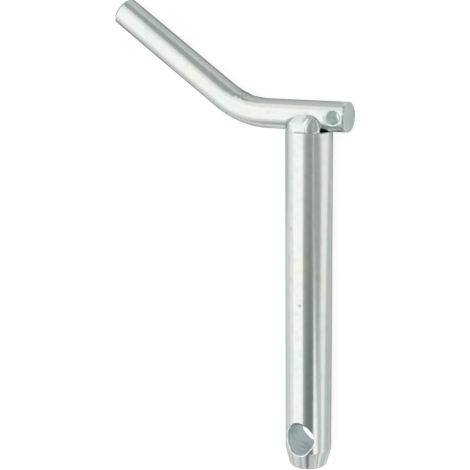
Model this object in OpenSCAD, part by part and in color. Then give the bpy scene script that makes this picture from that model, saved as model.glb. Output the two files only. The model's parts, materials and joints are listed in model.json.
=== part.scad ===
// Top link pin: a round shank with a bent round-bar handle welded across its head.
//
// Each piece is drawn standing up, as it would be welded: the shank hangs down from
// z = 0, its flat head face, and the handle lies along X on that face. lay_down() then
// turns the finished pin to the way it rests on a bench, on the side of its shank and on
// the end of its handle. The origin stays at the centre of the head face, and the shank
// runs from there along -Y.

/* [Shank] */
// Diameter of the turned shank, the size of the pin
shank_d = 19; // [17:0.5:30]
// Length of the shank from its head face to its tip
shank_len = 140; // [70:1:220]
// Length of the tapered lead at the tip
taper_len = 7.4; // [2:0.2:14]
// Angle of the tapered lead to the shank's axis
taper_angle = 14; // [5:1:25]
// Width of the broken edges at both ends of the shank
edge_break = 0.3; // [0.1:0.05:0.8]

/* [Linch-pin hole] */
// Diameter of the cross hole that the linch pin goes through
linch_d = 12.5; // [8:0.25:13.5]
// Distance of the cross hole's axis from the tip of the shank
linch_from_tip = 13.2; // [10:0.2:40]
// Depth of the 45 degree countersink at each mouth of the cross hole
linch_sink = 1.2; // [0.3:0.1:1.6]

/* [Handle] */
// Diameter of the handle's round bar
bar_d = 12; // [8:0.5:14]
// Length of the bar from the shank's axis to its cut end
stub_len = 17.25; // [15.5:0.25:30]
// Length of the bar from the shank's axis to the start of its bend
bend_start = 17.5; // [10:0.5:40]
// Angle that the bend turns the bar through
bend_angle = 35; // [10:1:60]
// Radius of the bend, to the middle of the bar
bend_r = 36; // [16:1:60]
// How much bending draws down the bar's radius
bend_draw = 0.04; // [0.02:0.01:0.2]
// Length of the straight grip after the bend
grip_len = 59; // [30:1:100]
// Width of the chamfer at the end of the grip
grip_chamfer = 0.9; // [0.3:0.1:2]

/* [Handle hole] */
// Diameter of the small cross hole in the stub, for a tether
tether_d = 5.5; // [3:0.25:6]
// Distance of the tether hole's axis from the cut end
tether_from_end = 4.85; // [4.6:0.05:7]
// Depth of the 45 degree countersink at each mouth of the tether hole
tether_sink = 1.1; // [0.2:0.1:1.2]

/* [Welds] */
// Radius of the rounded weld bead
bead_r = 3.9; // [3.2:0.1:4.6]
// Distance of the bead's middle line from the plane of the two axes
bead_out = 5.7; // [5:0.1:6.2]
// Height of the bead's middle line above the head face
bead_up = 1.3; // [0.8:0.1:2]
// Distance between one weld puddle and the next along the bead
puddle_pitch = 1.7; // [1.2:0.1:3]
// Radius of the last puddle, where the welder stopped
crater_r = 3.3; // [3:0.1:4.2]
// Distance of the last puddle along the bar from the shank's axis
crater_along = 3.6; // [2:0.1:5]
// Height of the last puddle's middle above the head face
crater_up = 3.6; // [2.5:0.1:4]
// Distance that the beads keep inside the shank's outline
bead_inset = 0.3; // [0.2:0.05:0.5]

/* [Hidden] */
$fn = 96;

shank_r = shank_d / 2;
bar_r = bar_d / 2;
tip_r = shank_r - taper_len * tan(taper_angle);
linch_r = linch_d / 2;
tether_r = tether_d / 2;

// The grip's far end, seen along the shank's hanging line: how far it is out to the side
grip_rim_out = bend_start + bend_r * sin(bend_angle) + (grip_len - grip_chamfer) * cos(bend_angle);

// The pin rolls about its shank until the rim of the grip touches the bench. With s the
// sine of that roll, the rim's lowest point is at the shank's underside when
// shank_r - grip_rim_out * s = bar_r * sqrt(1 - (s * cos(bend_angle))^2).
roll_a = pow(grip_rim_out, 2) + pow(bar_r * cos(bend_angle), 2);
roll_b = shank_r * grip_rim_out;
roll_c = pow(shank_r, 2) - pow(bar_r, 2);
lying_roll = asin((roll_b - sqrt(pow(roll_b, 2) - roll_a * roll_c)) / roll_a);

cut = 1;        // how far a cutter runs past the face it opens
bend_lap = 0.4; // how far the drawn-down bend runs into the full bar at each of its ends
lap_angle = bend_lap / bend_r * 180 / PI;

steel = [0.76, 0.78, 0.78];
bar_steel = [0.72, 0.75, 0.75];
weld_steel = [0.66, 0.69, 0.68];

module lay_down() {
    rotate([0, -lying_roll, 0]) rotate([-90, 0, 0]) children();
}

// A round hole through a bar of the given radius, along Y, with a 45 degree countersink
// of the given depth at each mouth
module cross_hole(hole_r, sink, through_r) {
    rotate([90, 0, 0]) cylinder(r = hole_r, h = 2 * (through_r + cut), center = true);
    for (side = [-90, 90])
        rotate([side, 0, 0])
            translate([0, 0, through_r - sink])
                cylinder(r1 = hole_r, r2 = hole_r + sink + cut, h = sink + cut);
}

// The turned bar, with its tapered lead and both edges broken
module shank() {
    color(steel) lay_down() difference() {
        rotate_extrude() polygon([
            [0, -shank_len],
            [tip_r - edge_break, -shank_len],
            [tip_r, -shank_len + edge_break],
            [shank_r, -shank_len + taper_len],
            [shank_r, -edge_break],
            [shank_r - edge_break, 0],
            [0, 0]
        ]);
        translate([0, 0, -shank_len + linch_from_tip])
            cross_hole(linch_r, linch_sink, shank_r);
    }
}

// A straight length of the handle's bar along -X from the origin, with a chamfered end
module bar_length(len, chamfer) {
    rotate([0, -90, 0]) {
        cylinder(r = bar_r, h = len - chamfer);
        translate([0, 0, len - chamfer])
            cylinder(r1 = bar_r, r2 = bar_r - chamfer, h = chamfer);
    }
}

// The bend, from the origin along -X and up
module bar_bend() {
    translate([0, 0, bend_r]) rotate([-90, 0, 0]) rotate([0, 0, 90 - lap_angle])
        rotate_extrude(angle = bend_angle + 2 * lap_angle)
            translate([bend_r, 0]) circle(r = bar_r - bend_draw);
}

// The bent bar that lies across the head face
module handle() {
    color(bar_steel) lay_down() translate([0, 0, bar_r]) difference() {
        union() {
            translate([-bend_start, 0, 0]) mirror([1, 0, 0])
                bar_length(bend_start + stub_len, edge_break);
            translate([-bend_start, 0, 0]) {
                bar_bend();
                translate([0, 0, bend_r]) rotate([0, bend_angle, 0]) translate([0, 0, -bend_r])
                    bar_length(grip_len, grip_chamfer);
            }
        }
        translate([stub_len - tether_from_end, 0, 0])
            cross_hole(tether_r, tether_sink, bar_r);
    }
}

// A run of overlapping puddles along X, turned about its own middle line
module puddle_run(from_x, to_x) {
    puddles = max(1, ceil((to_x - from_x) / puddle_pitch));
    step = (to_x - from_x) / puddles;
    rotate([0, 90, 0]) rotate_extrude() intersection() {
        for (i = [0:puddles]) translate([0, from_x + i * step]) circle(r = bead_r);
        translate([0, from_x - bead_r]) square([bead_r, to_x - from_x + 2 * bead_r]);
    }
}

// One fillet weld on the -Y side: it fills the corner between the head face and the bar,
// stays inside the shank's outline, and ends in a taller last puddle
module weld_bead() {
    difference() {
        intersection() {
            union() {
                translate([0, -bead_out, bead_up]) puddle_run(-shank_r + bead_r, crater_along);
                translate([crater_along, -bead_out, crater_up]) sphere(r = crater_r);
            }
            cylinder(r = shank_r - bead_inset, h = bar_d);
        }
        translate([0, 0, bar_r]) rotate([0, 90, 0])
            cylinder(r = bar_r, h = 2 * (shank_r + cut), center = true);
    }
}

module weld_front() {
    color(weld_steel) lay_down() weld_bead();
}

// The rear bead is the front one, laid from the other side of the bar
module weld_rear() {
    color(weld_steel) lay_down() mirror([0, 1, 0]) weld_bead();
}

shank();
handle();
weld_front();
weld_rear();
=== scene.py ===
# %% [markdown]
# # A top link pin
#
# The pin holds a tractor's top link to an implement: a short turned bar, the shank, with
# a round bar bent into a handle and welded across its head. A linch pin goes through the
# large hole near the tip, and a tether ties on at the small hole. Bright plating mirrors
# the studio, so exact bars come first, then the marks that making leaves on them, then
# the plating.

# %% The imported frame
import json
import math

import bmesh
import bpy
import numpy as np
from mathutils import Matrix, Vector, noise


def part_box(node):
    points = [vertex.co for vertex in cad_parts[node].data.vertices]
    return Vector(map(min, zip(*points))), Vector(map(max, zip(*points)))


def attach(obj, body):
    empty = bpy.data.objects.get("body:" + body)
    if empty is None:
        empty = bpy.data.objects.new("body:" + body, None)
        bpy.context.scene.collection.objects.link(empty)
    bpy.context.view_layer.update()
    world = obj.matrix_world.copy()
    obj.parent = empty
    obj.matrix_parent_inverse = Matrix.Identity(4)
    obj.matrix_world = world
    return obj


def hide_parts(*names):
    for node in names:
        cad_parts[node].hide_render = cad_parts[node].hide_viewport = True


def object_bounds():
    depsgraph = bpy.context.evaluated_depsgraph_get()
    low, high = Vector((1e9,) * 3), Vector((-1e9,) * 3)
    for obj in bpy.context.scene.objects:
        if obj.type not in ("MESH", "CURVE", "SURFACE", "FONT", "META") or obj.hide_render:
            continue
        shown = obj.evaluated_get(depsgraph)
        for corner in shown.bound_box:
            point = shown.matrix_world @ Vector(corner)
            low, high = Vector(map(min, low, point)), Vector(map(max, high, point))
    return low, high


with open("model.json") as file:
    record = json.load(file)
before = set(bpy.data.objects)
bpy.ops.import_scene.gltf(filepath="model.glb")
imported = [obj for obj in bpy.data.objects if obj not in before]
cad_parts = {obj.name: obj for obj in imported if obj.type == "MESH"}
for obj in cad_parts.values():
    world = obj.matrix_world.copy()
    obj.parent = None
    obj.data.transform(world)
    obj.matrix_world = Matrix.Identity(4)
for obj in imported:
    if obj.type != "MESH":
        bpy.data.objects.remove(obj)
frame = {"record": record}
cad_box = [list(corner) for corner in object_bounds()]
scene = bpy.context.scene
print("CAD box, metres:", cad_box)

# %% [markdown]
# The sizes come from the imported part, so that each dressed piece fits the solid that it
# stands for. The record gives each hole with its radius and place, and a node's box gives
# its reach. The taper, the bend, the grip and the broken edges can't be read from either,
# so the sizes that they have in the part are written here.

# %% Sizes of the pin, in millimetres
MM = 0.001
MOUNTS = {mount["name"]: mount for mount in frame["record"]["mounts"]}
HOLE_AXIS = MOUNTS["linch_hole"]["axis"]
LYING_ROLL = math.atan2(-HOLE_AXIS[0], HOLE_AXIS[2])

SHANK_R = MOUNTS["shank_pin"]["dims"]["r_mm"]
SHANK_LEN = -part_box("shank")[0].y / MM
PLAIN_LEN = MOUNTS["shank_pin"]["dims"]["length_mm"]
EDGE_BREAK = 0.3
TAPER_ANGLE = math.radians(14)
LINCH_R = MOUNTS["linch_hole"]["dims"]["r_mm"]
LINCH_DOWN = -MOUNTS["linch_hole"]["pos_m"][1] / MM
LINCH_WALL = MOUNTS["linch_hole"]["dims"]["length_mm"] / 2

BAR_R = MOUNTS["tether_hole"]["pos_m"][1] / MM
BEND_START = 17.5
BEND_R = 36.0
BEND_ANGLE = math.radians(35)
GRIP_LEN = 59.0
GRIP_CHAMFER = 0.9
STUB_LEN = 17.25
TETHER_R = MOUNTS["tether_hole"]["dims"]["r_mm"]
TETHER_AT = MOUNTS["tether_hole"]["pos_m"]
TETHER_ALONG = math.hypot(TETHER_AT[0], TETHER_AT[2]) / MM
TETHER_WALL = MOUNTS["tether_hole"]["dims"]["length_mm"] / 2
print(f"shank {2 * SHANK_R} x {SHANK_LEN:.1f}, bar {2 * BAR_R:.1f}")
print(f"tether hole {TETHER_ALONG:.2f} out along the bar")

# %% [markdown]
# A pin is easiest to model the way it is welded: shank straight down from the head face
# at height zero, and the handle across it. Each mesh is made like that in millimetres,
# and is then laid on its side and scaled to metres once, in its vertices. The object
# itself stays at the origin, so patterns on Object coordinates don't slide.

# %% From the welding bench to the floor
QUARTER_TURN = math.radians(90)
LAY_DOWN = (
    Matrix.Scale(MM, 4)
    @ Matrix.Rotation(-LYING_ROLL, 4, "Y")
    @ Matrix.Rotation(-QUARTER_TURN, 4, "X")
)
STAND_UP = LAY_DOWN.inverted()


def new_mesh(title, bm):
    """Turn a bmesh into a mesh; the bmesh is used up."""
    mesh = bpy.data.meshes.new(title)
    bm.to_mesh(mesh)
    bm.free()
    return mesh


def new_object(title, data):
    """Put a mesh, lamp or camera into the scene."""
    made = bpy.data.objects.new(title, data)
    scene.collection.objects.link(made)
    return made


def laid_down(title, bm):
    """Turn a finished bmesh, drawn standing in millimetres, into a mesh in place."""
    bmesh.ops.recalc_face_normals(bm, faces=bm.faces)
    mesh = new_mesh(title, bm)
    mesh.transform(LAY_DOWN)
    return mesh


def shade_by_angle(piece, degrees):
    """Smooth shading that stays crisp on edges sharper than the angle."""
    piece.data.shade_smooth()
    piece.data.set_sharp_from_angle(angle=math.radians(degrees))
    print(f"{piece.name}: {len(piece.data.polygons)} faces")


# %% [markdown]
# ## The camera
#
# A long lens from about half a metre, above the front of the pin and off to its stub
# side. The three axes are the camera's right, up and back, as columns of its matrix.

# %% Camera
CAMERA_AT = Vector((0.20064, 0.06401, 0.46488))
CAMERA_BACK = Vector((0.44001, 0.20552, 0.87415)).normalized()
CAMERA_UP = Vector((-0.08367, 0.97859, -0.18796)).normalized()
CAMERA_RIGHT = CAMERA_UP.cross(CAMERA_BACK).normalized()

lens = bpy.data.cameras.new("camera")
lens.sensor_width = 36.0
lens.lens = 98.02
lens.clip_start = 0.01
camera = new_object("camera", lens)
camera.matrix_world = Matrix.Translation(CAMERA_AT) @ Matrix(
    (CAMERA_RIGHT, CAMERA_UP, CAMERA_BACK)
).transposed().to_4x4()
scene.camera = camera
scene.view_settings.view_transform = "Standard"
print("camera", [round(v, 3) for v in CAMERA_AT])

# %% [markdown]
# ## Floor and light
#
# Bright plating shows what stands round it, so the studio is part of the finish, and it is
# laid out as for shiny hardware: large soft boxes, and narrow ones beside them to shape the
# edge of a highlight. The floor that the pin mirrors carries painted light and shade.

# %% Helpers for node trees
def add_node(tree, kind, at, **settings):
    """Add a node at a place; capitalised settings are its sockets, others its properties."""
    node = tree.nodes.new(kind)
    node.location = at
    for key, value in settings.items():
        if key[0].isupper():
            node.inputs[key.replace("_", " ")].default_value = value
        else:
            setattr(node, key, value)
    return node


def feed(tree, *pairs):
    """Link pairs of sockets, output first."""
    for source, target in pairs:
        tree.links.new(source, target)


def add_math(tree, at, operation, *terms, **settings):
    """Add a math node on sockets and plain numbers; returns its output."""
    node = add_node(tree, "ShaderNodeMath", at, operation=operation, **settings)
    for term, socket in zip(terms, node.inputs):
        if isinstance(term, (int, float)):
            socket.default_value = term
        else:
            feed(tree, (term, socket))
    return node.outputs[0]


def add_step(tree, at, value, start, end, before, after):
    """Add a smooth step of a value, from before to after; returns its output."""
    step = add_node(
        tree, "ShaderNodeMapRange", at, interpolation_type="SMOOTHSTEP",
        From_Min=start, From_Max=end, To_Min=before, To_Max=after,
    )
    feed(tree, (value, step.inputs["Value"]))
    return step.outputs["Result"]


def stops(ramp, *points):
    """Set a colour ramp's stops from pairs of (position, colour)."""
    elements = ramp.color_ramp.elements
    while len(elements) < len(points):
        elements.new(0.5)
    for element, (position, colour) in zip(elements, points):
        element.position = position
        element.color = (*colour, 1)


# %% Floor
FLOOR_SIZE = 3.0
FLOOR_Z = cad_box[0][2]
floor_bm = bmesh.new()
bmesh.ops.create_grid(floor_bm, x_segments=1, y_segments=1, size=FLOOR_SIZE)
bmesh.ops.translate(floor_bm, verts=floor_bm.verts, vec=(0, 0, FLOOR_Z))
floor = new_object("floor", new_mesh("floor", floor_bm))
print(f"floor at {FLOOR_Z / MM:.2f} mm")

# %% [markdown]
# The floor is one sheet with three looks, and the kind of ray chooses between them. The
# camera sees it nearly white with the pin's shadow on it, and light that bounces on to the
# pin meets plain white card. What the pin mirrors has painted light and shade on it: darker
# strips near and under the pin are painted shade that stands for the pin's own shadow, and
# lighter strips further out are painted light. The shares multiply the paint.

# %% Painted light and shade on the floor that the pin mirrors
# Each step runs from one place to another, in metres, and from one value to another
# Painted shade: short rays from the pin meet darker floor, as if in the pin's own shade
SHADE_BY_REACH = (0.018, 0.040, 0.66, 0.68)
BEHIND_HEAD = (0.004, 0.022, 1.0, 0.71)
FAR_RIGHT = (0.015, 0.024, 1.0, 1.48)
# Painted shade: strips of floor under the bar and the grip and beside the shank mirror darker, as
# if the pin shaded them
SHADE_UNDER_BAR = 0.78
LEFT_OF_SHANK = (-0.031, -0.021, SHADE_UNDER_BAR, 1.0)
UNDER_GRIP = (-0.012, -0.004, SHADE_UNDER_BAR, 1.0)
BELOW_HEAD = (-0.050, -0.035, 1.0, SHADE_UNDER_BAR)
# Two of them run aslant, across the sheet's axes
FAR_RIGHT_SLANT, GRIP_SLANT = 0.2, 0.7
# Shares of the paint at distances to the right, in millimetres: painted light and shade beside the
# shank
RIGHT_OF_SHANK = ((8, 1.0), (10.5, 1.55), (13.5, 1.12), (18, 0.75), (100, 0.75))
RAMP_REACH = 100


def paint_mirror_light_and_shade(tree, path):
    """Wire the painted light and shade of the mirrored floor; returns its output."""
    place = add_node(tree, "ShaderNodeTexCoord", (-1300, 0))
    parts = add_node(tree, "ShaderNodeSeparateXYZ", (-1100, 0))
    feed(tree, (place.outputs["Object"], parts.inputs[0]))
    x, y = parts.outputs["X"], parts.outputs["Y"]

    reach = add_step(tree, (-500, 500), path.outputs["Ray Length"], *SHADE_BY_REACH)
    behind = add_step(tree, (-700, 250), y, *BEHIND_HEAD)

    ramp = add_node(tree, "ShaderNodeValToRGB", (-700, 0))
    stops(ramp, *((far / RAMP_REACH, [share] * 3) for far, share in RIGHT_OF_SHANK))
    along_ramp = add_math(tree, (-900, 0), "MULTIPLY", x, 1 / (RAMP_REACH * MM))
    feed(tree, (along_ramp, ramp.inputs["Fac"]))
    slanted = add_math(tree, (-900, -250), "MULTIPLY_ADD", y, FAR_RIGHT_SLANT, x)
    far_right = add_step(tree, (-700, -250), slanted, *FAR_RIGHT)
    rights = add_math(tree, (-450, -100), "MULTIPLY", ramp.outputs["Color"], far_right)

    leaning = add_math(tree, (-900, -750), "MULTIPLY_ADD", x, GRIP_SLANT, y)
    beside = add_math(
        tree, (-450, -600), "MAXIMUM",
        add_step(tree, (-700, -500), x, *LEFT_OF_SHANK),
        add_step(tree, (-700, -750), leaning, *UNDER_GRIP),
    )
    below = add_step(tree, (-700, -1000), y, *BELOW_HEAD)
    shaded = add_math(tree, (-250, -700), "MAXIMUM", beside, below)

    lefts = add_math(tree, (-250, -400), "MULTIPLY", shaded, behind)
    sides = add_math(tree, (-250, -100), "MULTIPLY", lefts, rights)
    return add_math(tree, (-250, 200), "MULTIPLY", reach, sides)


# %% Floor material
BOUNCE_CARD = (0.86, 0.87, 0.87, 1)
SEEN_PAINT, SEEN_GLOW = (0.20, 0.20, 0.20, 1), 0.84

floor_material = bpy.data.materials.new("pale floor")
floor_material.use_nodes = True
tree = floor_material.node_tree
tree.nodes.clear()
out = add_node(tree, "ShaderNodeOutputMaterial", (900, 0))
path = add_node(tree, "ShaderNodeLightPath", (-1300, 600))
bounced = add_node(tree, "ShaderNodeBsdfDiffuse", (0, -300), Color=BOUNCE_CARD)
# Painted light and shade on the floor, seen only in what the pin mirrors
mirror_light_and_shade = add_node(tree, "ShaderNodeBsdfDiffuse", (0, 0))
painted = add_node(tree, "ShaderNodeBsdfDiffuse", (0, 300), Color=SEEN_PAINT)
glowing = add_node(tree, "ShaderNodeEmission", (0, 430), Strength=SEEN_GLOW)
seen = add_node(tree, "ShaderNodeAddShader", (250, 300))
mirrored = add_math(
    tree, (250, 700), "MAXIMUM", path.outputs["Is Glossy Ray"], path.outputs["Is Transmission Ray"]
)
in_mirror = add_node(tree, "ShaderNodeMixShader", (500, -100))
to_camera = add_node(tree, "ShaderNodeMixShader", (700, 0))
feed(
    tree,
    (paint_mirror_light_and_shade(tree, path), mirror_light_and_shade.inputs["Color"]),
    (painted.outputs[0], seen.inputs[0]),
    (glowing.outputs[0], seen.inputs[1]),
    (mirrored, in_mirror.inputs[0]),
    (bounced.outputs[0], in_mirror.inputs[1]),
    (mirror_light_and_shade.outputs[0], in_mirror.inputs[2]),
    (path.outputs["Is Camera Ray"], to_camera.inputs[0]),
    (in_mirror.outputs[0], to_camera.inputs[1]),
    (seen.outputs[0], to_camera.inputs[2]),
    (to_camera.outputs[0], out.inputs["Surface"]),
)
floor.data.materials.append(floor_material)
print("floor nodes:", len(tree.nodes))

# %% [markdown]
# The lamps are placed by what the pin mirrors. A round bar squeezes half the room into its
# width, so a lamp's direction says where on the bar its highlight falls, and its width in
# degrees says how broad that is. The big boxes on the left give the white band, the low
# ones on the right the pale edge, and the taper and the foot need lamps from below.

# %% Soft boxes
def from_camera(azimuth, elevation):
    """The direction that lies that many degrees right of, and above, the way back to the camera."""
    az, el = math.radians(azimuth), math.radians(elevation)
    level = math.sin(az) * CAMERA_RIGHT + math.cos(az) * CAMERA_BACK
    return (math.cos(el) * level + math.sin(el) * CAMERA_UP).normalized()


AIM = Vector((0.0, -0.04, 0.0))
LAMP_AWAY = 1.5
LAMP_TINT = (1.0, 0.945, 0.93)
LAMP_GAIN = 1.035


def soft_box(title, azimuth, elevation, width, height, radiance):
    """A rectangular lamp that covers width x height degrees of what the pin mirrors."""
    lamp = bpy.data.lights.new(title, "AREA")
    lamp.shape = "RECTANGLE"
    lamp.size = 2 * LAMP_AWAY * math.tan(math.radians(width) / 2)
    lamp.size_y = 2 * LAMP_AWAY * math.tan(math.radians(height) / 2)
    lamp.energy = LAMP_GAIN * radiance * math.pi * lamp.size * lamp.size_y
    lamp.color = LAMP_TINT
    toward = from_camera(azimuth, elevation)
    side = CAMERA_UP.cross(toward).normalized()
    facing = Matrix((side, toward.cross(side), toward)).transposed().to_4x4()
    box = new_object(title, lamp)
    box.matrix_world = Matrix.Translation(AIM + LAMP_AWAY * toward) @ facing


# Each lamp's azimuth, elevation, width and height in degrees, and its radiance
SOFT_BOXES = (
    ("main soft box", -62, -1, 55, 76, 0.40),
    ("wide soft box", -76, 8, 92, 119, 0.345),
    ("upper edge", -27, 14, 11, 68, 0.30),
    ("high box", -68, 50, 54, 26, 0.20),
    ("left step", -101, -6, 20, 66, 0.19),
    ("lower left box", -84, -51, 56, 20, 0.11),
    ("taper box", 43, -66, 32, 24, 0.46),
    ("taper box left", -45, -64, 15, 24, 0.44),
    ("foot box side", 61, -29, 22, 14, 0.22),
    ("low right box", 52, 0, 15, 27, 0.34),
    ("low right edge", 63, -6, 9, 36, 0.40),
    ("foot box", 29, -38.5, 11, 23, 0.74),
    ("foot box corner", 41, -40.5, 14, 21, 0.74),
    ("foot box tip", 26, -25.2, 6, 3.6, 0.55),
    ("thin strip", 17.5, -14, 4, 22, 0.42),
)
for row in SOFT_BOXES:
    soft_box(*row)
print("soft boxes:", len(SOFT_BOXES))

# %% An overhead fill that isn't mirrored
fill = bpy.data.lights.new("overhead fill", "AREA")
fill.shape = "SQUARE"
fill.size = 2.0
fill.energy = 31.0
fill_box = new_object("overhead fill", fill)
fill_box.location = (0.12, -0.1, 1.9)
fill_box.visible_glossy = False
print("fill above", fill_box.location[:])

# %% The room
ROOM_GREY = (0.41, 0.45, 0.445, 1)
DIM_GREY = (0.19, 0.222, 0.215, 1)
DIM_WAY = Vector((0.40, -0.65, 0.65)).normalized()
DIM_EDGE, DIM_CORE = 36, 20

world = bpy.data.worlds.new("studio")
scene.world = world
world.use_nodes = True
tree = world.node_tree
tree.nodes.clear()
out = add_node(tree, "ShaderNodeOutputWorld", (900, 0))
around = add_node(tree, "ShaderNodeTexCoord", (-600, 0))
toward_dim = add_node(tree, "ShaderNodeVectorMath", (-400, 0), operation="DOT_PRODUCT")
toward_dim.inputs[1].default_value = DIM_WAY
feed(tree, (around.outputs["Generated"], toward_dim.inputs[0]))
dimmed = add_step(
    tree, (-200, 0), toward_dim.outputs["Value"],
    math.cos(math.radians(DIM_EDGE)), math.cos(math.radians(DIM_CORE)), 0.0, 1.0,
)
shade = add_node(tree, "ShaderNodeMix", (100, 0), data_type="RGBA", A=ROOM_GREY, B=DIM_GREY)
room = add_node(tree, "ShaderNodeBackground", (600, 0))
feed(
    tree,
    (dimmed, shade.inputs["Factor"]),
    (shade.outputs["Result"], room.inputs["Color"]),
    (room.outputs[0], out.inputs["Surface"]),
)


# %% [markdown]
# ## The plating
#
# Bright zinc is a thin, faintly blue-green metal coat, and never quite even: its colour
# drifts in soft clouds, the drawn bar under it shows as fine lines, it has a fine grain,
# and dirt and stains settle on it. Each of those is a node group, so that every finish can
# use it at its own strength. The groups only put out colours and values.

# %% Node groups for the plating
def new_group(title, inputs, outputs):
    """A node group with named sockets; returns it with its two end nodes."""
    group = bpy.data.node_groups.new(title, "ShaderNodeTree")
    for name, kind, value in inputs:
        socket = group.interface.new_socket(name, in_out="INPUT", socket_type="NodeSocket" + kind)
        if value is not None:
            socket.default_value = value
    for name, kind in outputs:
        group.interface.new_socket(name, in_out="OUTPUT", socket_type="NodeSocket" + kind)
    ends = ("NodeGroupInput", (-900, 0)), ("NodeGroupOutput", (900, 0))
    return group, *(add_node(group, kind, at) for kind, at in ends)


def use_group(tree, group, at, **values):
    """Place a group in a material and set the sockets that are given."""
    return add_node(tree, "ShaderNodeGroup", at, node_tree=group, **values)


# %% Clouds of colour
SPOTS_PER_CLOUD = 5.3

CLOUDS, ins, outs = new_group(
    "zinc clouds",
    [("Place", "Vector", None), ("Base", "Color", (0.74, 0.775, 0.765, 1)),
     ("Strength", "Float", 1.0), ("Size", "Float", 60.0)],
    [("Colour", "Color")],
)
drift = add_node(CLOUDS, "ShaderNodeTexNoise", (-600, 200), Detail=3.0, Roughness=0.55)
film = add_node(CLOUDS, "ShaderNodeValToRGB", (-350, 200))
stops(
    film, (0.30, (0.94, 0.99, 0.985)), (0.44, (0.99, 1.0, 1.0)), (0.52, (1.0, 1.0, 1.0)),
    (0.60, (1.03, 0.99, 1.0)), (0.68, (1.02, 1.0, 0.94)),
)
spots = add_node(CLOUDS, "ShaderNodeTexNoise", (-600, -150), Detail=5.0, Roughness=0.6)
grey = add_node(CLOUDS, "ShaderNodeValToRGB", (-350, -150))
stops(grey, (0.34, (0.94, 0.95, 0.955)), (0.50, (1.0, 1.0, 1.0)), (0.75, (1.01, 1.01, 1.01)))
finer = add_math(CLOUDS, (-750, -300), "MULTIPLY", ins.outputs["Size"], SPOTS_PER_CLOUD)
filmed = add_node(CLOUDS, "ShaderNodeMix", (0, 150), data_type="RGBA", blend_type="MULTIPLY")
greyed = add_node(CLOUDS, "ShaderNodeMix", (350, 50), data_type="RGBA", blend_type="MULTIPLY")
feed(
    CLOUDS,
    (ins.outputs["Place"], drift.inputs["Vector"]),
    (ins.outputs["Place"], spots.inputs["Vector"]),
    (ins.outputs["Size"], drift.inputs["Scale"]),
    (finer, spots.inputs["Scale"]),
    (drift.outputs["Fac"], film.inputs["Fac"]),
    (spots.outputs["Fac"], grey.inputs["Fac"]),
    (ins.outputs["Base"], filmed.inputs["A"]),
    (film.outputs["Color"], filmed.inputs["B"]),
    (ins.outputs["Strength"], filmed.inputs["Factor"]),
    (filmed.outputs["Result"], greyed.inputs["A"]),
    (grey.outputs["Color"], greyed.inputs["B"]),
    (ins.outputs["Strength"], greyed.inputs["Factor"]),
    (greyed.outputs["Result"], outs.inputs["Colour"]),
)

# %% Lines along the bar
BROAD_SHARE, FINE_HEIGHT = 0.32, 0.6
STREAK_FROM, STREAK_FULL = 0.56, 0.74

LINES, ins, outs = new_group(
    "drawn lines",
    [("Place", "Vector", None), ("Squash", "Vector", (1.0, 1.0, 1.0)),
     ("Fineness", "Float", 900.0)],
    [("Height", "Float"), ("Streak", "Float")],
)
drawn = add_node(LINES, "ShaderNodeVectorMath", (-650, 100), operation="MULTIPLY")
fine = add_node(LINES, "ShaderNodeTexNoise", (-400, 200), Detail=2.0)
broad = add_node(LINES, "ShaderNodeTexNoise", (-400, -100), Detail=3.0)
coarser = add_math(LINES, (-650, -150), "MULTIPLY", ins.outputs["Fineness"], BROAD_SHARE)
feed(
    LINES,
    (ins.outputs["Place"], drawn.inputs[0]),
    (ins.outputs["Squash"], drawn.inputs[1]),
    (drawn.outputs[0], fine.inputs["Vector"]),
    (drawn.outputs[0], broad.inputs["Vector"]),
    (ins.outputs["Fineness"], fine.inputs["Scale"]),
    (coarser, broad.inputs["Scale"]),
)
streak = add_step(LINES, (0, -100), broad.outputs["Fac"], STREAK_FROM, STREAK_FULL, 0.0, 1.0)
relief = add_math(
    LINES, (100, 200), "MULTIPLY_ADD", fine.outputs["Fac"], FINE_HEIGHT, broad.outputs["Fac"]
)
feed(LINES, (relief, outs.inputs["Height"]), (streak, outs.inputs["Streak"]))

# %% Grain and specks
SPECK_CORE, SPECK_EDGE = 0.10, 0.24
SPECK_HEIGHT = -2.5

GRAIN, ins, outs = new_group(
    "plate grain",
    [("Place", "Vector", None), ("Speck Size", "Float", 260.0),
     ("Speck Share", "Float", 0.06)],
    [("Height", "Float"), ("Speck", "Float")],
)
peel = add_node(GRAIN, "ShaderNodeTexNoise", (-500, 250), Scale=700.0, Detail=4.0)
cells = add_node(GRAIN, "ShaderNodeTexVoronoi", (-500, -50))
apart = add_node(GRAIN, "ShaderNodeSeparateColor", (-250, 50))
feed(
    GRAIN,
    (ins.outputs["Place"], peel.inputs["Vector"]),
    (ins.outputs["Place"], cells.inputs["Vector"]),
    (ins.outputs["Speck Size"], cells.inputs["Scale"]),
    (cells.outputs["Color"], apart.inputs[0]),
)
chosen = add_math(GRAIN, (0, 50), "LESS_THAN", apart.outputs[0], ins.outputs["Speck Share"])
near = add_step(GRAIN, (0, -150), cells.outputs["Distance"], SPECK_CORE, SPECK_EDGE, 1.0, 0.0)
speck = add_math(GRAIN, (300, -50), "MULTIPLY", chosen, near)
sunk = add_math(GRAIN, (550, 150), "MULTIPLY_ADD", speck, SPECK_HEIGHT, peel.outputs["Fac"])
feed(GRAIN, (sunk, outs.inputs["Height"]), (speck, outs.inputs["Speck"]))

# %% Dirt
DIRT_COLOUR = (0.30, 0.32, 0.32, 1)
SPECK_DIRT, DIRT_ROUGHNESS = 0.55, 0.30

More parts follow.
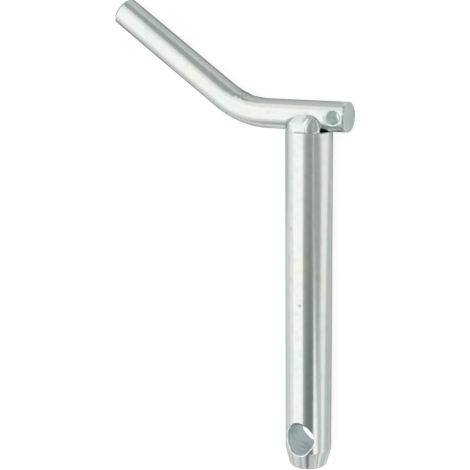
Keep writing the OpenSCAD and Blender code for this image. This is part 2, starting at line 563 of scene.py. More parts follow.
DIRT, ins, outs = new_group(
    "dirt",
    [("Colour", "Color", (0.74, 0.775, 0.765, 1)), ("Roughness", "Float", 0.2),
     ("Streak", "Float", 0.0), ("Streak Dirt", "Float", 0.1),
     ("Speck", "Float", 0.0)],
    [("Colour", "Color"), ("Roughness", "Float")],
)
dark = add_math(DIRT, (-500, 0), "MULTIPLY", ins.outputs["Streak"], ins.outputs["Streak Dirt"])
dirty = add_math(
    DIRT, (-250, 0), "MULTIPLY_ADD", ins.outputs["Speck"], SPECK_DIRT, dark, use_clamp=True
)
duller = add_math(
    DIRT, (100, -150), "MULTIPLY_ADD", dirty, DIRT_ROUGHNESS, ins.outputs["Roughness"]
)
soiled = add_node(DIRT, "ShaderNodeMix", (100, 150), data_type="RGBA", B=DIRT_COLOUR)
feed(
    DIRT,
    (dirty, soiled.inputs["Factor"]),
    (ins.outputs["Colour"], soiled.inputs["A"]),
    (soiled.outputs["Result"], outs.inputs["Colour"]),
    (duller, outs.inputs["Roughness"]),
)

# %% Stains
STAIN, ins, outs = new_group(
    "stain",
    [("Place", "Vector", None), ("Colour", "Color", (0.74, 0.775, 0.765, 1)),
     ("Stain", "Color", (0.4, 0.5, 0.5, 1)), ("Mask", "Float", 1.0),
     ("Squash", "Vector", (1.0, 1.0, 1.0)), ("Scale", "Float", 400.0),
     ("Low", "Float", 0.35), ("High", "Float", 0.6)],
    [("Colour", "Color")],
)
spread = add_node(STAIN, "ShaderNodeVectorMath", (-600, 0), operation="MULTIPLY")
patches = add_node(STAIN, "ShaderNodeTexNoise", (-400, 0), Detail=2.5, Distortion=0.6)
rising = add_node(STAIN, "ShaderNodeMapRange", (-150, 0))
amount = add_math(STAIN, (100, 0), "MULTIPLY", ins.outputs["Mask"], rising.outputs["Result"])
stained = add_node(STAIN, "ShaderNodeMix", (350, 0), data_type="RGBA")
feed(
    STAIN,
    (ins.outputs["Place"], spread.inputs[0]),
    (ins.outputs["Squash"], spread.inputs[1]),
    (spread.outputs[0], patches.inputs["Vector"]),
    (ins.outputs["Scale"], patches.inputs["Scale"]),
    (patches.outputs["Fac"], rising.inputs["Value"]),
    (ins.outputs["Low"], rising.inputs["From Min"]),
    (ins.outputs["High"], rising.inputs["From Max"]),
    (amount, stained.inputs["Factor"]),
    (ins.outputs["Colour"], stained.inputs["A"]),
    (ins.outputs["Stain"], stained.inputs["B"]),
    (stained.outputs["Result"], outs.inputs["Colour"]),
)
print("plating groups:", [group.name for group in (CLOUDS, LINES, GRAIN, DIRT, STAIN)])

# %% [markdown]
# Every finish is then one recipe with its own numbers. Lines along a straight axis need
# only Object coordinates, squashed along it. The handle is bent, so its lines read the
# place that each point had on the straight bar.

# %% The recipe for one finish
EDGE_TINT = (0.52, 0.60, 0.57)


def zinc_finish(title, base, rough, place="object", squash=(1, 1, 1), fineness=900.0,
                line_depth=0.000008, grain_depth=0.000004, clouds=1.0, size=60.0,
                specks=0.05, speck_size=260.0, streaks=0.10, metallic=1.0):
    """A metal plating from the shared groups: colour, roughness and a fine relief."""
    material = bpy.data.materials.new(title)
    material.use_nodes = True
    tree = material.node_tree
    shader = tree.nodes["Principled BSDF"]
    shader.inputs["Metallic"].default_value = metallic
    shader.inputs["Specular Tint"].default_value = (*EDGE_TINT, 1)
    if place == "object":
        where = add_node(tree, "ShaderNodeTexCoord", (-1200, 0)).outputs["Object"]
    else:
        own = add_node(tree, "ShaderNodeAttribute", (-1200, 0), attribute_name=place)
        where = own.outputs["Vector"]
    cloud = use_group(tree, CLOUDS, (-800, 300), Base=(*base, 1), Strength=clouds, Size=size)
    line = use_group(tree, LINES, (-800, 0), Squash=squash, Fineness=fineness)
    grain = use_group(tree, GRAIN, (-800, -300), Speck_Size=speck_size, Speck_Share=specks)
    dirt = use_group(tree, DIRT, (-450, 150), Roughness=rough, Streak_Dirt=streaks)
    low = add_node(tree, "ShaderNodeBump", (-450, -300), Distance=line_depth)
    high = add_node(tree, "ShaderNodeBump", (-200, -300), Distance=grain_depth)
    feed(
        tree,
        (where, cloud.inputs["Place"]),
        (where, line.inputs["Place"]),
        (where, grain.inputs["Place"]),
        (cloud.outputs["Colour"], dirt.inputs["Colour"]),
        (line.outputs["Streak"], dirt.inputs["Streak"]),
        (grain.outputs["Speck"], dirt.inputs["Speck"]),
        (dirt.outputs["Colour"], shader.inputs["Base Color"]),
        (dirt.outputs["Roughness"], shader.inputs["Roughness"]),
        (line.outputs["Height"], low.inputs["Height"]),
        (grain.outputs["Height"], high.inputs["Height"]),
        (low.outputs["Normal"], high.inputs["Normal"]),
        (high.outputs["Normal"], shader.inputs["Normal"]),
    )
    return material


# %% The finishes
SHANK_ZINC = zinc_finish("turned shank zinc", (0.745, 0.775, 0.765), 0.17, squash=(1, 0.02, 1))
BAR_ZINC = zinc_finish(
    "drawn bar zinc", (0.745, 0.77, 0.765), 0.17, place="bar_place", squash=(0.02, 1, 1),
)
WELD_ZINC = zinc_finish(
    "weld zinc", (0.74, 0.77, 0.755), 0.20, line_depth=0, grain_depth=0.000018, size=140.0,
    specks=0.10,
)
DRILLED = zinc_finish(
    "drilled wall", (0.92, 1.0, 1.0), 0.36, squash=(0.06, 0.06, 1), fineness=330.0,
    line_depth=0.00008, grain_depth=0.00003, clouds=2.6, size=230.0, streaks=0.5, metallic=0.7,
)
RIM = zinc_finish("rolled rim", (0.93, 0.95, 0.94), 0.38, size=200.0, metallic=0.5)
COUNTERSUNK = zinc_finish(
    "countersunk mouth", (0.42, 0.52, 0.58), 0.42, squash=(0.3, 0.3, 1), fineness=900.0,
    line_depth=0.00003, grain_depth=0.00003, clouds=2.0, size=330.0, specks=0.3, speck_size=900.0,
)
CUT_FACE = zinc_finish(
    "sawn end", (0.62, 0.68, 0.65), 0.40, squash=(1, 0.05, 1), fineness=800.0,
    line_depth=0.000012, clouds=2.6, size=230.0, streaks=0.15,
)
FINISHES = (SHANK_ZINC, BAR_ZINC, WELD_ZINC, DRILLED, RIM, COUNTERSUNK, CUT_FACE)
print("finishes:", [finish.name for finish in FINISHES])

# %% [markdown]
# Some places are stained: the crushed patch inside the bend, the bands that a drill leaves
# in a hole, the patches on a sawn end. The weld is darkened along the groove at its foot, as
# painted shade in that crevice. A stain is mixed in over a finished colour, by blotches, by
# a mask on the vertices, or by both.

# %% Stains inside one finish
EVERYWHERE = (-2.0, -1.0)


def stain(material, colour, mask=None, share=1.0, scale=1.0, squash=(1, 1, 1), edges=EVERYWHERE):
    """Mix a colour into a finish: in blotches, where the piece's own mask says, or both."""
    tree = material.node_tree
    shader = tree.nodes["Principled BSDF"]
    clouds = next(node for node in tree.nodes if node.type == "GROUP" and node.node_tree == CLOUDS)
    low, high = edges
    mixed = use_group(
        tree, STAIN, (-200, 400), Stain=(*colour, 1), Mask=share,
        Squash=squash, Scale=scale, Low=low, High=high,
    )
    if mask:
        own = add_node(tree, "ShaderNodeAttribute", (-600, 600), attribute_name=mask)
        feed(tree, (own.outputs["Fac"], mixed.inputs["Mask"]))
    feed(
        tree,
        (clouds.inputs["Place"].links[0].from_socket, mixed.inputs["Place"]),
        (shader.inputs["Base Color"].links[0].from_socket, mixed.inputs["Colour"]),
        (mixed.outputs["Colour"], shader.inputs["Base Color"]),
    )


CRUSHED_ZINC = (0.40, 0.52, 0.47)
# Painted shade: the dark colour mixed into the weld along its seam groove
CREVICE_SHADE = (0.12, 0.11, 0.10)
DRILL_SHADE, DRILL_SHINE = (0.50, 0.64, 0.70), (1.0, 1.0, 1.0)
SAWN_SHADE = (0.50, 0.62, 0.66)

stain(BAR_ZINC, CRUSHED_ZINC, mask="scuff", scale=700.0, edges=(0.34, 0.56))
stain(WELD_ZINC, CREVICE_SHADE, mask="seam")
stain(DRILLED, DRILL_SHADE, share=0.7, scale=420.0, squash=(0.35, 0.35, 1), edges=(0.46, 0.62))
stain(DRILLED, DRILL_SHINE, share=0.6, scale=800.0, squash=(0.4, 0.4, 1), edges=(0.50, 0.62))
stain(CUT_FACE, SAWN_SHADE, share=0.6, scale=330.0, edges=(0.45, 0.65))
print("stained:", BAR_ZINC.name, WELD_ZINC.name, DRILLED.name, CUT_FACE.name)


# %% [markdown]
# ## The shank
#
# A lathe shape is a profile spun about its axis. Its corners are rounded before the spin,
# with the bevel tool, because a rounded corner is what catches a line of light.

# %% A lathe
LATHE_MERGE = 1e-4


def turned(profile, steps, corner=0.0, spacing=1.0):
    """A closed shape: a profile of (radius, height) points spun about the upright axis."""
    bm = bmesh.new()
    points = [bm.verts.new((radius, 0, height)) for radius, height in profile]
    for pair in zip(points, points[1:]):
        bm.edges.new(pair)
    if corner:
        bmesh.ops.bevel(
            bm, geom=points[1:-1], offset=corner, offset_type="OFFSET", segments=3,
            profile=0.5, affect="VERTICES", material=-1, clamp_overlap=True,
        )
    for edge in list(bm.edges):
        cuts = int(edge.calc_length() / spacing)
        if cuts:
            bmesh.ops.subdivide_edges(bm, edges=[edge], cuts=cuts)
    bmesh.ops.spin(
        bm, geom=bm.verts[:] + bm.edges[:], cent=(0, 0, 0), axis=(0, 0, 1),
        angle=math.tau, steps=steps, use_merge=True,
    )
    bmesh.ops.remove_doubles(bm, verts=bm.verts, dist=LATHE_MERGE)
    return bm


# %% [markdown]
# ## Cross holes
#
# The holes are drilled and countersunk from both sides, then plated. One turned shape
# stands for the drill, and a boolean takes it out of the bar and hands its own materials
# to the new walls. Drilling rolls the metal up into a fine rim at each mouth, which wears
# off on the upper side. The rim is a thin torus, laid on the bar point by point.

# %% Drilling
HOLE_STEPS, HOLE_SPACING = 96, 0.5
DRILL_PAST = 1
LINCH_RIM, TETHER_RIM = 0.22, 0.13


def drill(piece, cutter):
    """Take the cutter out of the piece; the new walls keep the cutter's own material."""
    hole = piece.modifiers.new("hole", "BOOLEAN")
    hole.operation = "DIFFERENCE"
    hole.solver = "EXACT"
    hole.object = cutter
    hole.material_mode = "TRANSFER"
    bpy.context.view_layer.update()
    cut_piece = piece.evaluated_get(bpy.context.evaluated_depsgraph_get())
    mesh = bpy.data.meshes.new_from_object(cut_piece)
    piece.modifiers.clear()
    piece.data = mesh
    bpy.data.objects.remove(cutter)


def hole_cutter(title, radius, wall, reach, at, mouth):
    """A drill and both its countersinks as one turned shape, laid front to back."""
    sink = reach - wall
    bm = turned(
        [
            (0, -reach), (radius + sink, -reach), (radius, -wall),
            (radius, wall), (radius + sink, reach), (0, reach),
        ],
        HOLE_STEPS, spacing=HOLE_SPACING,
    )
    for face in bm.faces:
        face.material_index = int(abs(face.calc_center_median().z) > wall)
    bmesh.ops.transform(
        bm, verts=bm.verts,
        matrix=Matrix.Translation(at) @ Matrix.Rotation(QUARTER_TURN, 4, "X"),
    )
    cutter = new_object(title, laid_down(title, bm))
    cutter.data.materials.append(DRILLED)
    cutter.data.materials.append(mouth)
    return cutter


# %% The plated rim of a cross hole
RIM_SIDES, RIM_STEPS = 10, 128
RIM_APART = 100.0
RIM_WORN_DOWN, RIM_WEAR = 0.2, 0.7
RIM_SUNK, RIM_SUNK_WORN = 0.15, 0.3
MOUTH_ROUNDS = 30


def mouth_at(surface, hole_r, wall, turn):
    """How far out and how deep a mouth's edge is at one angle, by closing in on it."""
    mouth = hole_r
    for _ in range(MOUTH_ROUNDS):
        depth = surface(mouth * math.cos(turn), mouth * math.sin(turn))
        mouth = 0.5 * mouth + 0.5 * (hole_r + max(0.0, depth - wall))
    return mouth, surface(mouth * math.cos(turn), mouth * math.sin(turn))


def join_mesh(piece, mesh, material):
    """Add a mesh to a piece under a material of its own."""
    piece.data.materials.append(material)
    for face in mesh.polygons:
        face.material_index = len(piece.data.materials) - 1
    joined = bmesh.new()
    joined.from_mesh(piece.data)
    joined.from_mesh(mesh)
    joined.to_mesh(piece.data)
    joined.free()
    bpy.data.meshes.remove(mesh)


def hole_rim(piece, hole_r, wall, at, surface, thickness):
    """A fine rolled edge round both mouths, worn down on its upper side."""
    bm = bmesh.new()
    for side in (-1, 1):
        bmesh.ops.create_circle(
            bm, segments=RIM_SIDES, radius=thickness,
            matrix=Matrix.Translation((hole_r, side * RIM_APART, 0)),
        )
    bmesh.ops.spin(
        bm, geom=bm.verts[:] + bm.edges[:], cent=(0, 0, 0), axis=(0, 1, 0),
        angle=math.tau, steps=RIM_STEPS, use_merge=True,
    )
    for vert in bm.verts:
        side = math.copysign(1, vert.co.y)
        turn = math.atan2(vert.co.z, vert.co.x)
        lower = (0.5 - 0.5 * math.sin(turn)) ** RIM_WEAR
        left = RIM_WORN_DOWN + (1 - RIM_WORN_DOWN) * lower
        mouth, depth = mouth_at(surface, hole_r, wall, turn)
        sunk = thickness * (RIM_SUNK + RIM_SUNK_WORN * (1 - left))
        out = mouth + (math.hypot(vert.co.x, vert.co.z) - hole_r) * left
        vert.co = (
            out * math.cos(turn),
            side * (depth - sunk) + (vert.co.y - side * RIM_APART) * left,
            out * math.sin(turn),
        )
    bmesh.ops.translate(bm, verts=bm.verts, vec=at)
    join_mesh(piece, laid_down("rim", bm), RIM)
    print(f"{piece.name}: rims of {thickness} mm")


# %% Shank
SHANK_STEPS, SHANK_CORNER = 192, 0.12
CRISP_ANGLE = 32
TIP_R = SHANK_R - (SHANK_LEN - PLAIN_LEN - EDGE_BREAK) * math.tan(TAPER_ANGLE)
SHANK_PROFILE = [
    (0, -SHANK_LEN),
    (TIP_R - EDGE_BREAK, -SHANK_LEN),
    (TIP_R, -SHANK_LEN + EDGE_BREAK),
    (SHANK_R, -PLAIN_LEN - EDGE_BREAK),
    (SHANK_R, -EDGE_BREAK),
    (SHANK_R - EDGE_BREAK, 0),
    (0, 0),
]
shank = new_object("shank_turned", laid_down(
    "shank_turned", turned(SHANK_PROFILE, SHANK_STEPS, corner=SHANK_CORNER)
))
shank.data.materials.append(SHANK_ZINC)
LINCH_MIDDLE = (0, 0, -LINCH_DOWN)
drill(shank, hole_cutter(
    "linch drill", LINCH_R, LINCH_WALL, SHANK_R + DRILL_PAST, LINCH_MIDDLE, COUNTERSUNK
))


def shank_depth(across, along):
    """Half the shank's thickness at a place beside the linch hole's axis."""
    below = -PLAIN_LEN - EDGE_BREAK - (along - LINCH_DOWN)
    radius = SHANK_R - max(0.0, below) * math.tan(TAPER_ANGLE)
    return math.sqrt(max(radius * radius - across * across, 0.0))


hole_rim(shank, LINCH_R, LINCH_WALL, LINCH_MIDDLE, shank_depth, LINCH_RIM)
shade_by_angle(shank, CRISP_ANGLE)
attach(shank, "root")
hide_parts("shank")


# %% [markdown]
# ## The handle
#
# The handle is one piece of bar. It is built as it is bent: a ring at the stub's end is
# pushed along the bar, swung round the bend, and pushed on along the grip. Spin does all
# three, since with no angle and a step length it becomes a straight push.

# %% The bar, bent
RING = 160
STEP = 0.5


def push(bm, ring, way, length):
    """Carry the ring of edges on in a straight line; returns the new end ring."""
    steps = round(length / STEP)
    moved = bmesh.ops.spin(
        bm, geom=ring, cent=(0, 0, 0), axis=(0, 1, 0), dvec=way * length / steps,
        angle=0, steps=steps,
    )
    return moved["geom_last"]


def swing(bm, ring, centre, radius, angle):
    """Carry the ring of edges round the bend; returns the new end ring."""
    moved = bmesh.ops.spin(
        bm, geom=ring, cent=centre, axis=(0, 1, 0), angle=angle,
        steps=round(radius * angle / STEP),
    )
    return moved["geom_last"]


def edges_of(geom):
    """The edges among what an operator returned."""
    return [item for item in geom if isinstance(item, bmesh.types.BMEdge)]


def drawn_in(bm, ring, middle, along, radius_from, radius_to, forward):
    """Carry the ring forward and draw it in, as a chamfer or an end face does."""
    grown = bmesh.ops.extrude_edge_only(bm, edges=edges_of(ring))
    verts = [item for item in grown["geom"] if isinstance(item, bmesh.types.BMVert)]
    bmesh.ops.translate(bm, verts=verts, vec=forward * along)
    bmesh.ops.scale(
        bm, verts=verts, vec=[radius_to / radius_from] * 3,
        space=Matrix.Translation(-(middle + forward * along)),
    )
    return verts + edges_of(grown["geom"])


# %% Handle
BAR_MERGE = 1e-3
FACE_BORDER, FACE_MIDDLE, FACE_CENTRE = 0.3, 0.6, 0.01
STUB_WAY = Vector((1, 0, 0))
GRIP_WAY = Vector((-math.cos(BEND_ANGLE), 0, math.sin(BEND_ANGLE)))
BEND_CENTRE = Vector((-BEND_START, 0, BAR_R + BEND_R))
GRIP_START = BEND_CENTRE + BEND_R * Vector((-math.sin(BEND_ANGLE), 0, -math.cos(BEND_ANGLE)))
GRIP_PLAIN = GRIP_LEN - GRIP_CHAMFER

bar = bmesh.new()
stub_face = Vector((STUB_LEN - EDGE_BREAK, 0, BAR_R))
bmesh.ops.create_circle(
    bar, segments=RING, radius=BAR_R,
    matrix=Matrix.Translation(stub_face) @ Matrix.Rotation(QUARTER_TURN, 4, "Y"),
)
first_ring = bar.verts[:] + bar.edges[:]
ring = push(bar, first_ring, -STUB_WAY, STUB_LEN - EDGE_BREAK + BEND_START)
ring = swing(bar, ring, BEND_CENTRE, BEND_R, BEND_ANGLE)
ring = push(bar, ring, GRIP_WAY, GRIP_PLAIN)

for start, way, at, chamfer in (
    (first_ring, STUB_WAY, stub_face, EDGE_BREAK),
    (ring, GRIP_WAY, GRIP_START + GRIP_WAY * GRIP_PLAIN, GRIP_CHAMFER),
):
    edge = drawn_in(bar, start, at, chamfer, BAR_R, BAR_R - chamfer, way)
    face_at = at + way * chamfer
    radius = BAR_R - chamfer
    for smaller in (radius - FACE_BORDER, radius * FACE_MIDDLE, FACE_CENTRE):
        edge = drawn_in(bar, edge, face_at, 0, radius, smaller, way)
        radius = smaller
bmesh.ops.remove_doubles(bar, verts=bar.verts, dist=BAR_MERGE)
handle = new_object("handle_bent", laid_down("handle_bent", bar))
handle.data.materials.append(BAR_ZINC)

TETHER_MIDDLE = (TETHER_ALONG, 0, BAR_R)
drill(handle, hole_cutter(
    "tether drill", TETHER_R, TETHER_WALL, BAR_R + DRILL_PAST, TETHER_MIDDLE, DRILLED
))
hole_rim(
    handle, TETHER_R, TETHER_WALL, TETHER_MIDDLE,
    lambda across, up: math.sqrt(BAR_R * BAR_R - up * up), TETHER_RIM,
)
handle.data.materials.append(CUT_FACE)
print("handle faces:", len(handle.data.polygons))

# %% [markdown]
# ## Marks of bending and sawing
#
# Cold bending crowds the metal inside the bend into small wrinkles, leaves a dent from the
# former and draws fine lines on the side. Sawing leaves a ragged burr round the stub's
# end. Bright plating shows them at once, so the vertices are moved. Each vertex is looked
# up on the straight bar, and that place is kept as an attribute for the drawn lines.

# %% Places on the straight bar
def bar_place(point):
    """Where a standing point was before bending: along the bar, across it, and up from it."""
    from_centre = point - BEND_CENTRE
    turned_by = math.atan2(-from_centre.x, -from_centre.z)
    if point.x > -BEND_START:
        return Vector((-point.x, point.y, point.z - BAR_R))
    if turned_by < BEND_ANGLE:
        up = BEND_R - math.hypot(from_centre.x, from_centre.z)
        return Vector((BEND_START + BEND_R * turned_by, point.y, up))
    on_grip = point - GRIP_START
    up = on_grip.dot(Vector((math.sin(BEND_ANGLE), 0, math.cos(BEND_ANGLE))))
    return Vector((BEND_START + BEND_R * BEND_ANGLE + on_grip.dot(GRIP_WAY), point.y, up))


def angle_round(place):
    """The angle round the straight bar in degrees; 0 is inside the bend, 90 is the front."""
    return math.degrees(math.atan2(-place.y, place.z))


def hump(value, middle, width):
    """1 in the middle, falling away smoothly over the width."""
    return math.exp(-(((value - middle) / width) ** 2))


def patch(place, along, spread, turn, width):
    """A hump along the bar, in mm, times one round it, in degrees."""
    return hump(place.x, along, spread) * hump(angle_round(place), turn, width)


# %% What bending leaves
FORMER_DENT = (27.3, 2.4, 6, 38)
FORMER_EDGE = (33.6, 0.8, 35, 28)
WRINKLED = (31.6, 3.4, 6, 38)
WRINKLE_PITCH, WRINKLE_LEAN = 2.3, 0.02
CRUSHED = (31.6, 3.0, 16, 30)
CRUSH_GRAIN = 0.75
SCUFFED = (31.0, 3.0, 12, 30)
LONG_LINE = (26.4, 2.4, 68, 2.6)
LEANING_LINE = (22.5, 4.0)
LEAN_FROM, LEAN_ANGLE, LEAN = 18, 50, 1.2
UNEVEN_ALONG, UNEVEN_ROUND = 0.11, 0.25


def bend_marks(place):
    """How far the bar's skin stands out at a place on it, in mm."""
    lean_turn = LEAN_ANGLE + LEAN * (place.x - LEAN_FROM)
    wave = math.sin(
        math.tau * (place.x + WRINKLE_LEAN * angle_round(place)) / WRINKLE_PITCH
    )
    uneven = noise.noise(Vector(
        (place.x * UNEVEN_ALONG, place.y * UNEVEN_ROUND, place.z * UNEVEN_ROUND)
    ))
    return (
        -0.30 * patch(place, *FORMER_DENT)
        - 0.10 * patch(place, *FORMER_EDGE)
        + 0.11 * wave * patch(place, *WRINKLED)
        + 0.12 * noise.noise(place * CRUSH_GRAIN) * patch(place, *CRUSHED)
        - 0.045 * patch(place, *LONG_LINE)
        - 0.045 * patch(place, *LEANING_LINE, lean_turn, 2.6)
        + 0.016 * uneven
    )


# %% What sawing leaves
BURR_OUT, BURR_BACK = 0.16, -0.22
BURR_GRAIN, BURR_SEED = 0.9, 3.1
BURR_TURN, BURR_SPREAD, BURR_LEAST = 55, 45, 0.35


def saw_burr(place):
    """How far the stub's sawn edge stands out, or lies back behind the burr, in mm."""
    ragged = 0.5 + noise.noise(Vector((BURR_SEED, place.y * BURR_GRAIN, place.z * BURR_GRAIN)))
    height = BURR_OUT if place.x < -STUB_LEN + 0.1 else BURR_BACK
    round_edge = hump(angle_round(place), BURR_TURN, BURR_SPREAD)
    return height * ragged * (BURR_LEAST + (1 - BURR_LEAST) * round_edge)


# %% Marks on the handle
GRIP_END = BEND_START + BEND_R * BEND_ANGLE + GRIP_LEN
ON_SKIN = 0.05
MARKED_FROM, MARKED_TO = -10, GRIP_END - 3
places = [bar_place(STAND_UP @ vert.co) for vert in handle.data.vertices]
normals = [normal.vector.copy() for normal in handle.data.vertex_normals]
for vert, normal, place in zip(handle.data.vertices, normals, places):
    from_axis = math.hypot(place.y, place.z)
    if from_axis > BAR_R - ON_SKIN and MARKED_FROM < place.x < MARKED_TO:
        vert.co += normal * MM * bend_marks(place)
    if place.x < -STUB_LEN + 0.4 and from_axis > BAR_R - EDGE_BREAK - ON_SKIN:
        on_axis = LAY_DOWN @ Vector((-place.x, 0, BAR_R))
        vert.co += (vert.co - on_axis).normalized() * MM * saw_burr(place)

scuffs = [patch(place, *SCUFFED) for place in places]
handle.data.attributes.new("scuff", "FLOAT", "POINT").data.foreach_set("value", scuffs)
keep_place = handle.data.attributes.new("bar_place", "FLOAT_VECTOR", "POINT")
keep_place.data.foreach_set("vector", [value * MM for place in places for value in place])
for face in handle.data.polygons:
    ends = [places[index].x for index in face.vertices]
    if max(ends) < -STUB_LEN + 0.01 or min(ends) > GRIP_END - 0.01:
        face.material_index = handle.data.materials.find(CUT_FACE.name)
shade_by_angle(handle, CRISP_ANGLE)
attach(handle, "root")
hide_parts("handle")

# %% [markdown]
# ## The welds
#
# Each fillet weld is a run of molten puddles set one over the next, with a taller one
# where the welder stopped. The bead is modelled as balls melted together by a voxel
# remesh, and every vertex is then drawn in to the skin that liquid metal would have: a
# soft minimum of the distances to the puddles, the bar and the head, with ripples in it.
# Points are given as x along the bar, out from the plane of both axes, and up from the
# head face.

# %% Puddles
BEAD_R, BEAD_OUT, BEAD_UP = 3.9, 5.7, 1.3
BEAD_START, PUDDLE_COUNT = -6.3, 8
CLIMB, CLIMB_FROM, CLIMB_OVER = 0.6, -5.6, 3.6
SLIM_BEFORE, SLIMMING = -3.2, 0.5
CRATER_ALONG, CRATER_UP, CRATER_R = 3.5, 3.4, 3.05


def puddle(along):
    """A puddle's middle and radius; the first ones, laid on cold metal, are low and small."""
    climbed = min(1.0, max(0.0, (along - CLIMB_FROM) / CLIMB_OVER))
    slim = max(0.0, SLIMMING * (SLIM_BEFORE - along))
    return along, BEAD_OUT, BEAD_UP + CLIMB * climbed, BEAD_R - slim


PUDDLES = [puddle(along) for along in np.linspace(BEAD_START, CRATER_ALONG, PUDDLE_COUNT)]
PUDDLES.append((CRATER_ALONG, BEAD_OUT, CRATER_UP, CRATER_R))
print("puddles:", len(PUDDLES))


# %% How liquid metal wets the steel
def rise(x, middle, sharpness):
    """0 well before the middle and 1 well after it, or falling if the sharpness is negative."""
    return 1 / (1 + np.exp(-sharpness * (x - middle)))


def wetting(x):
    """How far the metal wets the steel: well in the bead's middle, hardly at its ends."""
    return 0.35 + 1.8 * rise(x, -4.0, 1.3) * rise(x, 2.2, -2.2)


def toe(x):
    """How far it wets the bar: at the cold start too, where it ran up the bar's side."""
    return wetting(x) + 0.7 * rise(x, -3.6, -1.3)


def soft_min(a, b, reach):
    """The smaller of two distances, with the corner between them filled."""
    blend = np.clip(reach - np.abs(a - b), 0, None) / reach
    return np.minimum(a, b) - blend * blend * reach / 4


# %% The skin of the puddles
FAR_OFF = 9.0
PUDDLE_MELT, FACE_MELT, CRATER_MELT = 0.6, 1.2, 1.6
FACE_AT, FACE_ANGLE = (9.35, 1.4), math.radians(27)
RIPPLE_PITCH, RIPPLE, CRATER_RIPPLE = 1.25, 0.018, 0.055


def ball_gap(points, along, middle_out, middle_up, radius):
    """Distance to one puddle's ball."""
    return np.linalg.norm(points - (along, middle_out, middle_up), axis=1) - radius


def puddle_skin(points, phase):
    """Distance to the melted puddles, flattened by the torch, with their set ripples."""
    x, out, up = points.T
    gap = np.full(len(points), FAR_OFF)
    for number, ball in enumerate(PUDDLES[:-1]):
        swell = 0.08 * math.sin(2.1 * number + phase) - 0.05
        gap = soft_min(gap, ball_gap(points, *ball) - swell, PUDDLE_MELT)
    face = math.cos(FACE_ANGLE) * (out - FACE_AT[0]) + math.sin(FACE_ANGLE) * (up - FACE_AT[1])
    gap = -soft_min(-gap, -face, FACE_MELT)
    gap = soft_min(gap, ball_gap(points, *PUDDLES[-1]), CRATER_MELT)
    chevron = x - 0.10 * ((out - 8.0) ** 2 + (up - 2.0) ** 2) + 0.35 * np.sin(0.9 * up + phase)
    strength = RIPPLE + CRATER_RIPPLE * rise(x, 1.6, 3.0)
    rough = 0.02 * np.sin(2.9 * x + 2.3 * up + 3.7 * out + phase)
    return gap + strength * np.sin(math.tau * chevron / RIPPLE_PITCH) + rough


# %% The skin of the bead
SEAM_WIDTH, SEAM_MIDDLE, SEAM_REACH, SEAM_UP = 0.34, 0.2, 2.5, 0.06
SEAM_CLOSED = 0.02
MELTED_SHARE = 0.87
HEAD_MELT, SIDE_MELT = 0.3, 0.8
SIDE_IN, SKIN_IN = 0.05, 0.012


def seam_gap(points):
    """Distance to the fine groove that the bead leaves over the head's front edge."""
    x, out, up = points.T
    width = SEAM_WIDTH * np.exp(-(((x - SEAM_MIDDLE) / SEAM_REACH) ** 6))
    from_edge = np.hypot(np.hypot(x, out) - SHANK_R, up - SEAM_UP)
    return from_edge - width + FAR_OFF * (width < SEAM_CLOSED)


def weld_skin(points, phase):
    """Distance to the finished bead: toes run out on the bar, sides kept to the shank."""
    x, out, up = points.T
    gap = puddle_skin(points, phase)
    to_bar = np.hypot(out, up - BAR_R) - BAR_R
    reach = toe(x)
    melted = np.minimum(soft_min(gap, to_bar, reach), soft_min(gap, up, HEAD_MELT))
    skin = np.maximum(melted + SKIN_IN, gap - MELTED_SHARE * reach)
    skin = -soft_min(-skin, SHANK_R - SIDE_IN - np.hypot(x, out), SIDE_MELT)
    return np.maximum(skin, -seam_gap(points))


# %% From balls to bead
BALL_SPLITS, VOXEL = 4, 0.2
SKIN_ROUNDS, SKIN_PROBE = 12, 0.01
SLOPE_LEAST, MOVE_MOST = 0.2, 0.4
BURIED = 0.6
SMOOTHING = 0.25
# Painted shade: how dark the weld is made next to its seam groove, and how far that reaches
CREVICE_SHADE_SHARE, CREVICE_SHADE_REACH = 0.62, 0.22


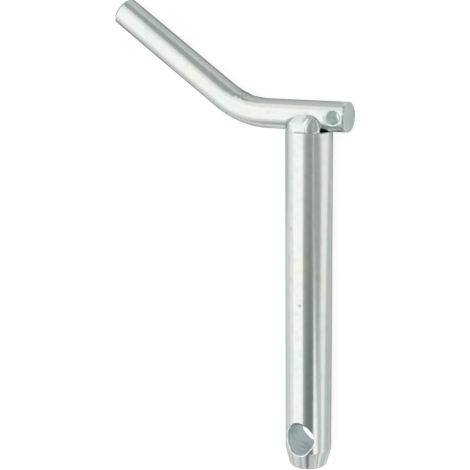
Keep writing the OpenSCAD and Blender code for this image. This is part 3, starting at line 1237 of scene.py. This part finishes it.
def melted_balls(title):
    """The puddles as balls, joined into one closed mesh; returns it as a bmesh."""
    balls = bmesh.new()
    for along, middle_out, middle_up, radius in PUDDLES:
        bmesh.ops.create_icosphere(
            balls, subdivisions=BALL_SPLITS, radius=radius + MELTED_SHARE * toe(along),
            matrix=Matrix.Translation((along, middle_out, middle_up)),
        )
    blank = new_object(title, new_mesh(title, balls))
    remesh = blank.modifiers.new("voxels", "REMESH")
    remesh.mode = "VOXEL"
    remesh.voxel_size = VOXEL
    bpy.context.view_layer.update()
    bm = bmesh.new()
    bm.from_mesh(blank.evaluated_get(bpy.context.evaluated_depsgraph_get()).to_mesh())
    bpy.data.objects.remove(blank)
    return bm


def drawn_to_skin(points, phase):
    """Move points along the slope of the distance until they lie on the bead's skin."""
    for _ in range(SKIN_ROUNDS):
        here = weld_skin(points, phase)
        slope = np.stack([
            weld_skin(points + step, phase) - weld_skin(points - step, phase)
            for step in np.eye(3) * SKIN_PROBE
        ], axis=1) / (2 * SKIN_PROBE)
        move = here / np.clip((slope ** 2).sum(axis=1), SLOPE_LEAST, None)
        points = points - slope * np.clip(move, -MOVE_MOST, MOVE_MOST)[:, None]
    return points


def kept_shallow(points):
    """Lift what lies deep inside the bar or the head to just under their faces."""
    x, out, up = points.T
    deepest = BAR_R - BURIED
    from_middle = np.hypot(out, up - BAR_R)
    lift = np.where(from_middle < deepest, deepest / np.maximum(from_middle, 0.5), 1.0)
    up = np.maximum(BAR_R + (up - BAR_R) * lift, -BURIED)
    return np.stack([x, out * lift, up], axis=1)


def weld_bead(title, front, phase, node):
    """One bead, on the front of the bar or, mirrored, on its rear."""
    bm = melted_balls(title)
    skin = kept_shallow(drawn_to_skin(np.array([vert.co for vert in bm.verts]), phase))
    for vert, (x, out, up) in zip(bm.verts, skin):
        vert.co = (x, -out if front else out, up)
    bmesh.ops.smooth_vert(
        bm, verts=bm.verts, factor=SMOOTHING, use_axis_x=True, use_axis_y=True, use_axis_z=True
    )
    smoothed = np.array([(vert.co.x, abs(vert.co.y), vert.co.z) for vert in bm.verts])
    # Painted shade: the weld darkens towards the seam groove, where shade falls in the crevice
    crevice_shade = CREVICE_SHADE_SHARE * np.clip(1 - seam_gap(smoothed) / CREVICE_SHADE_REACH, 0, 1)
    bead = new_object(title, laid_down(title, bm))
    bead.data.attributes.new("seam", "FLOAT", "POINT").data.foreach_set("value", crevice_shade)
    bead.data.materials.append(WELD_ZINC)
    bead.data.shade_smooth()
    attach(bead, "root")
    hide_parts(node)
    print(f"{title}: {len(bead.data.polygons)} faces")


# %% Both beads
weld_bead("bead_front", True, 0.4, "weld_front")
weld_bead("bead_rear", False, 2.6, "weld_rear")
